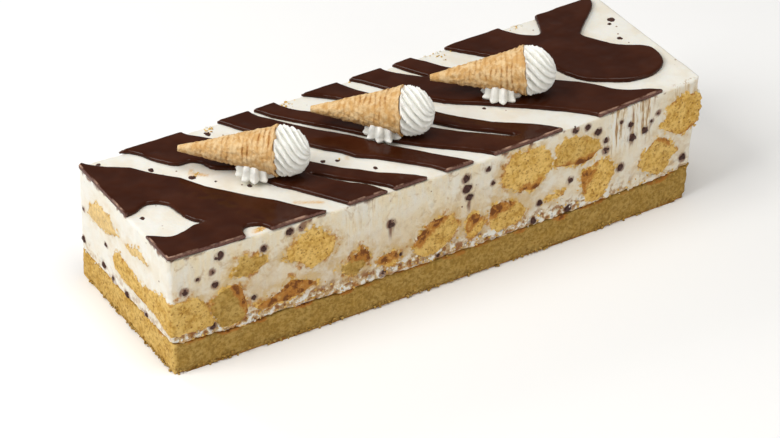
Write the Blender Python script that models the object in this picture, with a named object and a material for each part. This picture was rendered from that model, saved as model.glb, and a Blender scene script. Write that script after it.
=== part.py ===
"""A bar cake with waffle cones: a sponge base, a cream block with sponge pieces and chocolate chips,
chocolate stripes over the top, and three small wafer cones filled with piped cream.

The cake is first laid out in a plain straight box (length x, depth y from the front, height z, in mm),
and cake_point() then gives every point its real place, because a cut cake isn't a perfect box.
The origin is the middle of the underside, +X runs along the length and -Y is the front.
"""
import math
import random

import bmesh
import bpy
from mathutils import Matrix, Vector, noise

MM = 0.001

# Straight box that all outlines are read in
BOX_LENGTH = 290.0
BOX_DEPTH = 88.0
BOX_HEIGHT = 65.0

# Real cake
LENGTH = 284.5          # underside, end to end
WIDTH = 91.6            # underside, front to back
HEIGHT = 65.0           # at the middle, before the sag
RISE = 4.8              # the right end is this much taller than the left one
OVERHANG_LEFT = 0.7     # how far the top leans out past the underside
OVERHANG_RIGHT = 5.1
TOP_INSET_FRONT = 1.2
TOP_INSET_BACK = 2.3
BOW_BOTTOM = 2.4        # how far the long sides bow outwards at mid length
BOW_TOP = 2.3
SAG_FRONT = 2.6         # how far the top sinks at mid length
SAG_BACK = 1.5
CENTRE_X = LENGTH / 2 + (OVERHANG_RIGHT - OVERHANG_LEFT) / 2
CENTRE_Y = WIDTH / 2

# Layers
BASE_HEIGHT = 16.6
GAP = 0.3               # between pieces that touch
CHOCOLATE_THICK = 2.0
CHOCOLATE_ROUND = 0.8
STATIONS_X = 20         # the layers share these cuts, so that their faces stay parallel
STATIONS_Y = 3
STATIONS_Z = 3
THINNING = 0.16         # an outline point this near the line between its neighbours is dropped

# Wafer cones
CONE_RADIUS = 11.6
TIP_RADIUS = 1.5
WAFER_WALL = 1.5
CUP_DEPTH = 3.0
CONE_SIDES = 16
CONE_BANDS = 7          # overlapping turns of the rolled wafer
CONE_HEIGHTS = {"tip": 11.2, "mouth": 14.6}   # of the axis above the cream

# Piped cream
SWIRL_LENGTH = 16.0
SWIRL_RADIUS = 11.0
SWIRL_FLUTES = 12
ROSETTE_RADIUS = 9.0
ROSETTE_HEIGHT = 8.0
ROSETTE_FLUTES = 10

COLOURS = {
    "sponge": ((0.62, 0.38, 0.13), 0.95),
    "cream": ((0.86, 0.79, 0.68), 0.55),
    "chocolate": ((0.055, 0.018, 0.011), 0.25),
    "wafer": ((0.66, 0.39, 0.16), 0.8),
    "piped_cream": ((0.88, 0.87, 0.84), 0.5),
}

# Chocolate stripes seen from above, each as runs of points: a run is one smooth curve, runs meet in corners
CHOCOLATE_OUTLINES = {
    "chocolate_1": [
        [(0, 87), (2, 88), (5, 84.5), (10, 80), (20, 73.5), (26, 65), (36, 54.5), (42, 44), (52, 32),
         (58, 25), (65, 18), (70, 11), (75, 5), (81, 0)],
        [(81, 0), (52, 0)],
        [(52, 0), (50, 4), (46, 6.5), (42, 6.8), (39.8, 4), (39, 0)],
        [(39, 0), (0, 0)],
        [(0, 0), (0, 21.5)],
        [(0, 21.5), (3, 19.5), (8, 16), (12, 15.3), (17, 16.5), (22, 18.6), (28.5, 18.8)],
        [(28.5, 18.8), (25, 22), (22.6, 27), (21.5, 33), (20.8, 38.5), (17.5, 42), (13, 43.8), (9, 42.6),
         (5.5, 40.6), (0, 39.8)],
        [(0, 39.8), (0, 87)],
    ],
    "chocolate_2": [
        [(21, 88), (25, 86), (29, 81), (31, 76), (35, 70), (40, 65.3), (46, 65), (50, 61.5), (51.5, 56),
         (56, 52.5), (62, 49), (66, 41), (71, 29), (76, 23), (83, 13), (87, 7), (92, 0)],
        [(92, 0), (112.5, 0)],
        [(112.5, 0), (107, 9), (101, 14.2), (96, 19.3), (92, 24.3), (87, 31)],
        [(87, 31), (93.6, 25.4), (97.6, 20.8), (102.6, 15.7), (108.6, 10.2), (114.5, 3.5), (116, 0)],
        [(116, 0), (134, 0)],
        [(134, 0), (130, 4.5), (123, 10), (116, 15), (110, 21), (104, 26), (98, 33), (92, 40), (84, 52),
         (75, 64), (66, 74), (60, 80.5), (56, 84.5), (54, 88)],
        [(54, 88), (21, 88)],
    ],
    "chocolate_3": [
        [(73, 88), (76, 83), (80, 76), (88, 65), (95, 56), (101, 48.5), (105, 43), (110, 38), (114, 31),
         (122, 25), (129, 18), (134, 13), (140, 6.5), (144, 0)],
        [(144, 0), (159.5, 0)],
        [(159.5, 0), (154, 6), (149, 11.5), (143, 18.5), (138, 24.5), (133, 30), (129, 35.5), (124, 43),
         (120, 48), (115, 53.5), (110, 58.5), (102, 68.5), (96.5, 76), (92, 82), (90, 88)],
        [(90, 88), (73, 88)],
    ],
    "chocolate_4": [
        [(92.5, 88), (97.5, 79), (104, 71), (111, 63), (117, 56.5), (122, 50.5), (128, 43), (133, 36.5),
         (138, 30.5), (146, 22.5), (155, 15), (162, 9), (167, 4.3), (171, 0)],
        [(171, 0), (209.5, 0)],
        [(209.5, 0), (205, 5.5), (199, 11), (190, 17.6), (184, 22.3), (178, 28.6), (173, 34), (168, 40),
         (162, 49), (155, 60), (149, 70), (144, 77), (141, 83), (138.5, 88)],
        [(138.5, 88), (118.5, 88)],
        [(118.5, 88), (124, 83.5), (131, 77), (140, 65), (148, 53), (156, 41.5), (162, 34), (168, 26.5),
         (174, 20.8), (180, 15.8), (186, 9.8), (188.6, 6.6)],
        [(188.6, 6.6), (184, 9), (178, 14), (172, 19), (166, 24), (161, 29), (154, 36.5), (145, 46),
         (134, 57), (122, 67.5), (114, 74), (108, 80), (104, 88)],
        [(104, 88), (92.5, 88)],
    ],
    "chocolate_5": [
        [(145, 88), (149, 83), (154, 75.5), (161, 64), (167, 56), (170.5, 52), (174, 48), (180, 43),
         (186, 39), (192, 34.5), (199, 28.8), (205, 24), (212, 18), (219, 12), (225, 6), (230, 0)],
        [(230, 0), (268, 0)],
        [(268, 0), (262, 4.8), (255, 8.6), (249, 12.8), (246, 17), (243, 21.5), (239.6, 26), (235, 30.5),
         (229, 35.8), (221, 43), (212, 52), (202, 62), (194, 69), (189, 75), (185, 82), (180, 88)],
        [(180, 88), (169.5, 88)],
        [(169.5, 88), (173, 81), (177, 74.3), (180, 69.5)],
        [(180, 69.5), (176.5, 71.5), (173, 75), (168, 80.2), (164.8, 84), (163, 88)],
        [(163, 88), (145, 88)],
    ],
    "chocolate_6": [
        [(199, 88), (202, 84), (207, 78), (214, 70), (222, 62), (230, 55.5), (234.5, 50), (235, 44),
         (236.5, 38), (239, 32.5), (243, 27), (247.5, 23.2), (253, 19.8), (259, 16), (265, 14.6),
         (271, 14.4), (277, 16), (282, 20), (284.3, 26), (284.4, 33), (281, 38), (275, 42), (270, 47),
         (266.5, 53), (263, 59), (262.6, 62.5), (266, 66), (271, 71), (276.5, 75.4), (281.5, 80),
         (284.2, 84), (285, 88)],
        [(285, 88), (252.5, 88)],
        [(252.5, 88), (251, 84), (249, 79), (247, 75), (244, 73), (240.5, 75), (236.5, 78.8), (233, 84),
         (231, 88)],
        [(231, 88), (199, 88)],
    ],
}

# Sponge pieces that show in the cream. Each: side, depth into the cake, outline (along the side, height)
FRONT_PIECES = {
    "front_02": (13, [(19.2, 36), (22, 38.3), (27, 41), (33, 41.6), (36, 38), (38, 31), (38.6, 24.5),
                      (36, 20), (30, 19), (25, 19.4), (22.5, 23.5), (20.5, 29)]),
    "front_03": (9, [(31, 47), (34, 53), (38, 57), (42, 54.2), (46, 53.4), (49.4, 51), (47, 47), (42, 45.2),
                     (38, 44), (34, 45)]),
    "front_04": (14, [(57, 48), (60, 52), (64, 55.5), (69, 59), (73, 60), (78, 56.4), (83, 52), (85, 47),
                      (83, 43), (78, 39), (73, 37.4), (69, 39), (65, 43), (60, 45.6)]),
    "front_05": (8, [(42, 26), (47, 27.2), (52, 28), (56.5, 31), (61, 35), (66, 33.4), (71, 31), (76, 28.2),
                     (71, 26), (65, 23.8), (60, 22.6), (54, 23.4), (48, 22), (43, 23)]),
    "front_06": (11, [(85, 31), (90, 33), (95, 37), (98.5, 40), (102, 36.6), (104, 31.5), (101, 28.6),
                      (98, 26), (94, 23.6), (91, 25.4), (88.6, 29)]),
    "front_07": (8, [(106.8, 30), (112, 31), (118, 30.8), (119.4, 27), (117.4, 23.2), (112, 22.6),
                     (108.4, 25)]),
    "front_08": (14, [(126, 30.5), (129.5, 34.6), (133, 38.6), (138, 41.4), (143, 41.6), (148, 40),
                      (150.4, 36.6), (152.4, 32.6), (149, 28), (145, 24), (140, 21.8), (134, 21), (129.5, 23.6),
                      (127, 27)]),
    "front_09": (9, [(154.6, 31), (157, 35.4), (161, 37), (165, 34.4), (167, 29.8), (165, 25), (160.5, 22.4),
                     (157, 25)]),
    "front_10": (13, [(169.6, 35.4), (172.6, 38), (178, 37), (184, 35), (189, 31), (191, 27), (187, 22.4),
                      (180, 21.6), (174, 20.6), (170.4, 25), (168.8, 30.6)]),
    "front_11": (17, [(174.6, 49), (176, 56), (178.4, 60.6), (184, 62), (190, 61.8), (197, 60), (202.4, 57.4),
                      (204, 51), (203.4, 46.4), (199.6, 43), (197, 39), (192.6, 37.2), (187.6, 39.6),
                      (182, 41.6), (176.6, 45)]),
    "front_12": (14, [(205.4, 50), (206.4, 57), (210, 60.8), (215, 60.6), (220, 58), (226, 55.6), (230.6, 52),
                      (231.6, 47.4), (228.4, 44.2), (222, 42.2), (216, 43.6), (210, 45), (206, 46)]),
    "front_13": (15, [(221.4, 36), (226, 39.2), (230.4, 41.6), (235, 41), (240, 38), (242, 33), (241, 29),
                      (239, 25), (236, 19.6), (231, 18), (226.4, 19.4), (224, 25), (222.2, 31)]),
    "front_14": (6, [(201, 30.2), (207, 32), (213.4, 31.4), (212, 28.6), (205, 28)]),
    "front_15": (14, [(255, 30), (259, 35), (263, 39.6), (267.4, 42), (271.6, 39.4), (278, 33), (281.6, 29.6),
                      (277, 28), (275.6, 23), (272.4, 20.2), (266, 21.8), (259, 26)]),
    "front_16": (19, [(267.6, 46), (271, 50.6), (271, 56), (275.6, 59), (284, 59), (291.4, 55.6),
                      (292, 49.6), (291.6, 43), (287.6, 39), (281.6, 37.6), (275.6, 40.6), (271.4, 43.4)]),
}
LEFT_PIECES = {
    "front_01": (18.2, [(0, 22), (-0.4, 40.8), (5, 41.2), (10, 40), (20, 37), (28, 35), (34, 35), (41, 37.6),
                        (48, 39.2), (53, 37), (55.6, 33), (53, 28.4), (47, 26.4), (38, 26), (30, 25.4),
                        (20, 25.8), (10, 24)]),
    "left_01": (10, [(48, 50), (53, 52.8), (59, 56), (66, 56.4), (71, 54), (77, 48.6), (78.6, 44.4),
                     (74, 42.6), (67, 43), (60, 44.2), (53, 47)]),
    "left_02": (7, [(19.4, 50.6), (24, 53.4), (29, 54.6), (33, 52.4), (38, 50), (40.6, 48), (35, 46.8),
                    (29, 49), (23, 49.4)]),
}
# The block by which front_01 turns the corner and shows on the front too
CORNER_BLOCK = (13, [(-0.4, 22), (-0.4, 41), (6, 41.2), (12, 40), (15.6, 37.8), (18.4, 35.6), (19.6, 29.4),
                     (21.4, 24.2), (20.4, 22.4), (15, 21.8), (8, 22.4)])
# Pieces on the two sides that the photo hides: centre along, centre height, width, height, turn, depth
BACK_PIECES = [(22, 33, 30, 18, 6, 14), (56, 49, 26, 19, -8, 12), (88, 30, 30, 15, 10, 12),
               (118, 47, 22, 20, 20, 13), (146, 29, 26, 13, -6, 11), (177, 50, 34, 19, 4, 15),
               (206, 31, 27, 17, -14, 12), (236, 49, 24, 16, 12, 11), (264, 30, 28, 16, 8, 13)]
RIGHT_PIECES = [(36, 33, 26, 15, 10, 12), (62, 48, 24, 17, -10, 12), (70, 27, 16, 9, 4, 9)]

# Chocolate chips in the cream: place along the side, height or depth, radius
FRONT_CHIPS = [(7, 45.5, 1.9), (14, 50.4, 0.9), (21, 52.3, 1.4), (22.6, 44.4, 1.6), (25, 60, 2.1),
               (47.6, 56.6, 1.7), (42, 30.4, 1.2), (20.4, 21.4, 1.6), (61, 61.4, 1.7), (67, 61.8, 1.5),
               (114.5, 47, 2.2), (155, 58, 2.2), (156, 52, 2.3), (157.5, 46.6, 1.8), (167, 59, 1.4),
               (170.5, 50, 1.0), (110.5, 19.8, 1.4), (141, 19.2, 1.0), (216, 63, 1.6), (223.4, 61.8, 1.4),
               (230, 57, 1.8), (235, 50.5, 1.4), (235.6, 45, 1.8), (249.5, 54, 1.4), (251, 46.5, 2.2),
               (258.5, 47.8, 1.8), (215.5, 35.5, 1.7), (198.5, 28.5, 1.4), (216, 19.2, 1.7),
               (195.6, 19.2, 1.5), (245.6, 32, 2.0), (265.5, 55, 1.1), (284.5, 24, 1.7)]
LEFT_CHIPS = [(24.5, 19.4, 1.3), (43, 18.6, 1.6), (55, 19, 1.9), (65.5, 21, 1.4), (85, 24, 1.6),
              (83.6, 43, 1.2), (62, 35.5, 1.1)]
TOP_CHIPS = [(9, 84.6, 1.2), (28, 69, 1.4), (41.4, 54.6, 1.5), (49, 46, 1.2), (6.2, 36, 1.3), (65, 82.6, 1.7),
             (61, 36, 1.1), (118, 20, 1.2), (100, 36.5, 1.1), (284, 66.5, 1.9), (277.5, 50.5, 1.6),
             (229.6, 38.6, 1.2), (106, 33.6, 1.2)]
HIDDEN_CHIPS = 14

# Cone tips and mouths seen from above, from the cake's middle, and the rosette under each cone
CONES = [
    {"tip": (-105.5, 19.3), "mouth": (-69.4, -10.1), "rosette": (-78.4, -4.9), "twist": 62},
    {"tip": (-36.1, 17.2), "mouth": (-2.7, -10.7), "rosette": (-10.6, -6.4), "twist": 50},
    {"tip": (26.0, 11.2), "mouth": (64.6, -12.0), "rosette": (54.4, -7.6), "twist": 70},
]


def lerp(a, b, t):
    return a + (b - a) * t


def cake_point(x, y, z):
    """The real place, in metres, of a point of the straight box."""
    t, d, h = x / BOX_LENGTH, y / BOX_DEPTH, z / BOX_HEIGHT
    bow = 4 * t * (1 - t)
    left = lerp(0, -OVERHANG_LEFT, h)
    right = lerp(LENGTH, LENGTH + OVERHANG_RIGHT, h)
    front = lerp(-BOW_BOTTOM * bow, TOP_INSET_FRONT - BOW_TOP * bow, h)
    back = lerp(WIDTH + BOW_BOTTOM * bow, WIDTH - TOP_INSET_BACK, h)
    top = HEIGHT + RISE * (t - 0.5) - lerp(SAG_FRONT, SAG_BACK, d) * bow
    return Vector((lerp(left, right, t) - CENTRE_X, lerp(front, back, d) - CENTRE_Y, top * h)) * MM


def top_height(x):
    """Height of the cream's top, in mm, under a point given from the cake's middle."""
    t = (x + CENTRE_X) / LENGTH
    return cake_point(t * BOX_LENGTH, BOX_DEPTH / 2, BOX_HEIGHT).z / MM


def base_top(x, y):
    """The sponge base's uneven upper face, in the straight box."""
    waves = 0.5 * math.sin(0.11 * x + 0.5) + 0.4 * math.sin(0.31 * x + 0.02 * y + 1.7)
    heel = min(max((x - 272) / 14, 0), 1) * max(0, 1 - y / 60)
    return BASE_HEIGHT + waves - 0.6 * math.sin(math.pi * y / BOX_DEPTH) + 2.4 * heel


def material(name):
    found = bpy.data.materials.get(name)
    if found:
        return found
    made = bpy.data.materials.new(name)
    made.use_nodes = True
    colour, roughness = COLOURS[name]
    shader = made.node_tree.nodes["Principled BSDF"]
    shader.inputs["Base Color"].default_value = (*colour, 1)
    shader.inputs["Roughness"].default_value = roughness
    shader.inputs["Metallic"].default_value = 0
    return made


def add_object(name, bm, finish):
    bmesh.ops.recalc_face_normals(bm, faces=bm.faces)
    mesh = bpy.data.meshes.new(name)
    bm.to_mesh(mesh)
    bm.free()
    obj = bpy.data.objects.new(name, mesh)
    bpy.context.scene.collection.objects.link(obj)
    mesh.materials.append(material(finish))
    return obj


def apply_boolean(obj, others, operation):
    """Joins or cuts obj with a collection of other objects, then removes them."""
    helpers = bpy.data.collections.new("helpers")
    bpy.context.scene.collection.children.link(helpers)
    for other in others:
        bpy.context.scene.collection.objects.unlink(other)
        helpers.objects.link(other)
    step = obj.modifiers.new("join", "BOOLEAN")
    step.operation = operation
    step.operand_type = "COLLECTION"
    step.collection = helpers
    step.solver = "MANIFOLD" if operation == "UNION" else "EXACT"
    graph = bpy.context.evaluated_depsgraph_get()
    finished = bpy.data.meshes.new_from_object(obj.evaluated_get(graph))
    obj.modifiers.clear()
    obj.data = finished
    for other in others:
        bpy.data.objects.remove(other)
    bpy.data.collections.remove(helpers)


def place_in_cake(obj):
    """Moves a mesh from the straight box to its real place."""
    for vertex in obj.data.vertices:
        vertex.co = cake_point(*vertex.co)
    obj.data.update()


def box_mesh(z_low, z_high, cuts_z):
    """A straight box over the whole plan, cut at the shared stations."""
    bm = bmesh.new()
    bmesh.ops.create_cube(bm, size=1)
    for vertex in bm.verts:
        vertex.co.x = (vertex.co.x + 0.5) * BOX_LENGTH
        vertex.co.y = (vertex.co.y + 0.5) * BOX_DEPTH
        vertex.co.z = lerp(z_low, z_high, vertex.co.z + 0.5)
    cut_at_stations(bm)
    for k in range(1, cuts_z):
        cut(bm, (0, 0, lerp(z_low, z_high, k / cuts_z)), (0, 0, 1))
    return bm


def cut(bm, point, normal):
    everything = bm.verts[:] + bm.edges[:] + bm.faces[:]
    bmesh.ops.bisect_plane(bm, geom=everything, plane_co=point, plane_no=normal, dist=1e-4)


def cut_at_stations(bm):
    for k in range(1, STATIONS_X):
        cut(bm, (BOX_LENGTH * k / STATIONS_X, 0, 0), (1, 0, 0))
    for k in range(1, STATIONS_Y):
        cut(bm, (0, BOX_DEPTH * k / STATIONS_Y, 0), (0, 1, 0))


def smooth_run(points, steps):
    """A Catmull-Rom curve through the points of one run, without its last point."""
    if len(points) == 2:
        return points[:1]
    found = []
    for k in range(len(points) - 1):
        a, b = points[max(k - 1, 0)], points[k]
        c, d = points[k + 1], points[min(k + 2, len(points) - 1)]
        for s in range(steps):
            t = s / steps
            found.append(tuple(
                0.5 * (2 * b[i] + (c[i] - a[i]) * t + (2 * a[i] - 5 * b[i] + 4 * c[i] - d[i]) * t * t
                       + (3 * b[i] - a[i] - 3 * c[i] + d[i]) * t ** 3)
                for i in (0, 1)))
    return found


def thinned(points):
    """The outline without the points that hardly change its course."""
    kept = list(points)
    k = 1
    while k < len(kept) - 1:
        before, here, after = (Vector(p) for p in kept[k - 1:k + 2])
        along = (after - before).normalized()
        if abs(along.cross(here - before)) < THINNING:
            del kept[k]
        k += 1
    return kept


def signed_area(points):
    pairs = zip(points, points[1:] + points[:1])
    return sum(a[0] * b[1] - b[0] * a[1] for a, b in pairs) / 2


def grown(points, distance):
    """The outline moved outwards by a distance, corner by corner."""
    side = 1 if signed_area(points) > 0 else -1
    found = []
    for k, here in enumerate(points):
        before, after = Vector(points[k - 1]), Vector(points[(k + 1) % len(points)])
        here = Vector(here)
        u, v = (here - before).normalized(), (after - here).normalized()
        out = Vector((u.y + v.y, -u.x - v.x)) * side
        if out.length < 1e-6:
            out = Vector((u.y, -u.x)) * side
        out.normalize()
        across = max(0.5, out.dot(Vector((u.y, -u.x)) * side))
        found.append(tuple(here + out * distance / across))
    return found


def shrunk(points, share):
    middle = [sum(p[i] for p in points) / len(points) for i in (0, 1)]
    return [tuple(lerp(middle[i], p[i], share) for i in (0, 1)) for p in points]


def loft(rings):
    """A closed solid through rings of points, with a face on each end."""
    bm = bmesh.new()
    loops = [[bm.verts.new(p) for p in ring] for ring in rings]
    for low, high in zip(loops, loops[1:]):
        for k in range(len(low)):
            n = (k + 1) % len(low)
            bm.faces.new((low[k], low[n], high[n], high[k]))
    bm.faces.new(loops[0])
    bm.faces.new(loops[-1])
    return bm


def on_side(side, along, height, depth):
    """A point of the straight box, from a side's own measures."""
    if side == "front":
        return (along, depth, height)
    if side == "left":
        return (depth, along, height)
    if side == "back":
        return (along, BOX_DEPTH - depth, height)
    return (BOX_LENGTH - depth, along, height)


def piece_rings(side, outline, depth, extra, outside):
    """Rings of a sponge piece, or of its pocket, which is larger by extra and starts outside the cake."""
    levels = [(-outside, 1.0), (depth * 0.55, 0.97), (depth, 0.78)]
    rings = []
    for level, share in levels:
        ring = grown(shrunk(outline, share), extra)
        level += extra if level == depth else 0
        rings.append([on_side(side, a, h, level) for a, h in ring])
    return rings


def sponge_piece(name, side, outline, depth):
    bm = loft(piece_rings(side, outline, depth, 0, 0.0))
    bmesh.ops.recalc_face_normals(bm, faces=bm.faces)
    way = Vector(on_side(side, 0, 0, -1)) - Vector(on_side(side, 0, 0, 0))
    outer = max(bm.faces, key=lambda f: f.calc_center_median().dot(way))
    bmesh.ops.inset_region(bm, faces=[outer], thickness=1.0, depth=0.0, use_even_offset=True)
    crumbs = random.Random(name)
    for vertex in outer.verts:
        vertex.co += way * crumbs.uniform(0.15, 0.7)
    bmesh.ops.triangulate(bm, faces=[f for f in bm.faces if len(f.verts) > 4])
    return add_object(name, bm, "sponge")


def pocket(side, outline, depth):
    bm = loft(piece_rings(side, outline, depth, GAP + 0.05, 4.0))
    return add_object("pocket", bm, "cream")


def hidden_outline(centre, height, width, tall, turn, seed):
    """An uneven rounded outline for a piece on a side that the photo doesn't show."""
    rough = random.Random(seed)
    sides = 11
    points = []
    for k in range(sides):
        angle = 2 * math.pi * k / sides
        reach = rough.uniform(0.84, 1.08)
        a, h = math.cos(angle) * width / 2 * reach, math.sin(angle) * tall / 2 * reach
        c, s = math.cos(math.radians(turn)), math.sin(math.radians(turn))
        points.append((centre + a * c - h * s, height + a * s + h * c))
    return points


def all_pieces():
    """Every sponge piece as name, side, outline and depth."""
    found = [(n, "front", o, d) for n, (d, o) in FRONT_PIECES.items()]
    found += [(n, "left", o, d) for n, (d, o) in LEFT_PIECES.items()]
    for side, rows in (("back", BACK_PIECES), ("right", RIGHT_PIECES)):
        for k, (centre, height, width, tall, turn, depth) in enumerate(rows, 1):
            outline = hidden_outline(centre, height, width, tall, turn, side + str(k))
            found.append((f"{side}_{k:02d}", side, outline, depth))
    return found


def inside(outline, point):
    hits = False
    for a, b in zip(outline, outline[1:] + outline[:1]):
        if (a[1] > point[1]) != (b[1] > point[1]):
            if point[0] < a[0] + (b[0] - a[0]) * (point[1] - a[1]) / (b[1] - a[1]):
                hits = not hits
    return hits


def chip_places(outlines):
    """Chips as side, along, height and radius. A chip that would meet another piece is left out."""
    draw = random.Random(7)
    rows = [("front", *c) for c in FRONT_CHIPS] + [("left", *c) for c in LEFT_CHIPS]
    for _ in range(HIDDEN_CHIPS):
        rows.append(("back", draw.uniform(8, 282), draw.uniform(21, 61), draw.uniform(1.2, 2.0)))
    for _ in range(HIDDEN_CHIPS // 4):
        rows.append(("right", draw.uniform(8, 80), draw.uniform(21, 61), draw.uniform(1.2, 2.0)))
    kept = []
    for side, along, height, radius in rows:
        blocked = [o for s, o, _ in outlines if s == side]
        if not any(inside(grown(o, radius + 0.9), (along, height)) for o in blocked):
            kept.append((side, along, height, radius))
    stripes = [outline_of(n) for n in CHOCOLATE_OUTLINES]
    for x, y, radius in TOP_CHIPS:
        if not any(inside(grown(o, radius + 0.4), (x, y)) for o in stripes):
            kept.append(("top", x, y, radius))
    return kept


def chip(side, along, height, radius):
    """A flattened chip that stands a little proud of the cream."""
    bm = bmesh.new()
    bmesh.ops.create_icosphere(bm, subdivisions=1, radius=radius)
    flat = 0.6 if side != "top" else 0.4
    sunk = 0.2 * radius
    if side == "top":
        middle, thin = (along, height, BOX_HEIGHT - sunk), (1, 1, flat)
    else:
        middle = on_side(side, along, height, sunk)
        thin = (1, flat, 1) if side in ("front", "back") else (flat, 1, 1)
    bmesh.ops.scale(bm, vec=thin, verts=bm.verts)
    bmesh.ops.translate(bm, vec=middle, verts=bm.verts)
    return add_object("chip", bm, "chocolate")


def make_base():
    bm = box_mesh(0, BASE_HEIGHT, 3)
    for vertex in bm.verts:
        x, y, z = vertex.co
        vertex.co.z = base_top(x, y) * z / BASE_HEIGHT
        rough = noise.noise(Vector((x, y, z)) * 0.19)
        if 0.5 < z:
            vertex.co.x += rough * 0.5 * (x < 1e-3 or x > BOX_LENGTH - 1e-3)
            vertex.co.y += rough * 0.6 * (y < 1e-3 or y > BOX_DEPTH - 1e-3)
    place_in_cake(add_object("base_sponge", bm, "sponge"))


def make_cream(outlines):
    bm = box_mesh(BASE_HEIGHT, BOX_HEIGHT, STATIONS_Z)
    for vertex in bm.verts:
        x, y, z = vertex.co
        bottom = base_top(x, y) + GAP
        vertex.co.z = lerp(bottom, BOX_HEIGHT, (z - BASE_HEIGHT) / (BOX_HEIGHT - BASE_HEIGHT))
    corners = [e for e in bm.edges if is_upright_corner(e)]
    bmesh.ops.bevel(bm, geom=corners, offset=2.0, segments=2, profile=0.5, affect="EDGES", material=-1)
    cream = add_object("cream", bm, "cream")
    apply_boolean(cream, [pocket(*place) for place in outlines], "DIFFERENCE")
    apply_boolean(cream, [chip(*place) for place in chip_places(outlines)], "UNION")
    place_in_cake(cream)


def is_upright_corner(edge):
    return all(
        min(v.co.x, BOX_LENGTH - v.co.x) < 1e-3 and min(v.co.y, BOX_DEPTH - v.co.y) < 1e-3
        for v in edge.verts)


def outline_of(name):
    return [p for run in CHOCOLATE_OUTLINES[name] for p in thinned(smooth_run(run, 2))]


def cut_flush(outline, ring):
    """Puts the points of a cut edge back on the side of the cake that the knife went down."""
    found = []
    for (x, y), (new_x, new_y) in zip(outline, ring):
        if min(x, BOX_LENGTH - x) < 0.01:
            new_x = x
        if min(y, BOX_DEPTH - y) < 0.01:
            new_y = y
        found.append((new_x, new_y))
    return found


def make_chocolate(name):
    """A flat stripe with a rounded upper edge where it was poured, and a square one where it was cut."""
    outline = outline_of(name)
    low = BOX_HEIGHT + GAP
    levels = [(low, 0), (low + CHOCOLATE_THICK - CHOCOLATE_ROUND, 0), (low + CHOCOLATE_THICK, -CHOCOLATE_ROUND)]
    bm = loft([[(x, y, z) for x, y in cut_flush(outline, grown(outline, by))] for z, by in levels])
    bmesh.ops.recalc_face_normals(bm, faces=bm.faces)
    cut_at_stations(bm)
    bmesh.ops.triangulate(bm, faces=[f for f in bm.faces if len(f.verts) > 4])
    place_in_cake(add_object(name, bm, "chocolate"))


def cone_frame(cone):
    """Matrix that stands a cone's own axis on its place, tip at the origin, and the cone's length in mm."""
    tip = Vector((*cone["tip"], top_height(cone["tip"][0]) + CONE_HEIGHTS["tip"]))
    mouth = Vector((*cone["mouth"], top_height(cone["mouth"][0]) + CONE_HEIGHTS["mouth"]))
    axis = mouth - tip
    turn = axis.to_track_quat("Z", "Y").to_matrix().to_4x4()
    return Matrix.Scale(MM, 4) @ Matrix.Translation(tip) @ turn, axis.length


def turned(profile, sides, shape):
    """A closed solid turned round Z from (radius, height) points; shape gives each point's own radius and height."""
    rings = []
    for radius, height in profile:
        ring = []
        for k in range(sides):
            angle = 2 * math.pi * k / sides
            r, z = shape(radius, height, angle)
            ring.append((r * math.cos(angle), r * math.sin(angle), z))
        rings.append(ring)
    return loft(rings)


def wafer_profile(length, grow):
    """Outer line of the wafer from the tip to the rim, with a small step at each turn of the roll."""
    line = [(TIP_RADIUS * 0.5 + grow, -grow), (TIP_RADIUS + grow, 0.8)]
    for k in range(CONE_BANDS):
        for along, step in ((0.08, 0.0), (0.92, 0.35)):
            share = (k + along) / CONE_BANDS
            line.append((lerp(TIP_RADIUS + 0.3, CONE_RADIUS - 0.35, share) + step + grow, share * length))
    line.append((CONE_RADIUS + grow, length))
    return line


def make_cone(number, cone):
    place, length = cone_frame(cone)
    line = wafer_profile(length, 0)
    line += [(CONE_RADIUS - WAFER_WALL, length), (CONE_RADIUS - WAFER_WALL - 0.8, length - CUP_DEPTH)]

    def shape(radius, height, angle):
        spiral = 0.9 * (angle / math.pi - 1) if 1.5 < height < length - CUP_DEPTH - 0.5 else 0
        ragged = 0.5 * math.sin(3 * angle + number) if height > length - 1e-3 else 0
        return radius, height + spiral * min(1, height / 8) * min(1, (length - height) / 8) + ragged

    bm = turned(line, CONE_SIDES, shape)
    bmesh.ops.transform(bm, matrix=place, verts=bm.verts)
    add_object(f"cone_{number}", bm, "wafer")


def make_swirl(number, cone):
    """Piped cream that fills the mouth: ridges that wind round as they close to a blunt tip."""
    place, length = cone_frame(cone)
    inner = CONE_RADIUS - WAFER_WALL - 1.2
    shares = [(-2.4, inner / SWIRL_RADIUS), (0.8, inner / SWIRL_RADIUS), (1.6, 0.95), (4.0, 1.0), (7.5, 0.97),
              (11.0, 0.84), (14.0, 0.55), (SWIRL_LENGTH, 0.16)]

    def shape(radius, height, angle):
        deep = 0.09 if height > 1.5 else 0.0
        return radius * (1 + deep * math.cos(SWIRL_FLUTES * angle)), height + length

    bm = turned([(s * SWIRL_RADIUS, h) for h, s in shares], SWIRL_FLUTES * 2, shape)
    for vertex in bm.verts:
        share = max(0, vertex.co.z - length) / SWIRL_LENGTH
        twist = Matrix.Rotation(math.radians(cone["twist"]) * share, 3, "Z")
        vertex.co = twist @ vertex.co
    bmesh.ops.transform(bm, matrix=place, verts=bm.verts)
    add_object(f"cone_cream_{number}", bm, "piped_cream")


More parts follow.
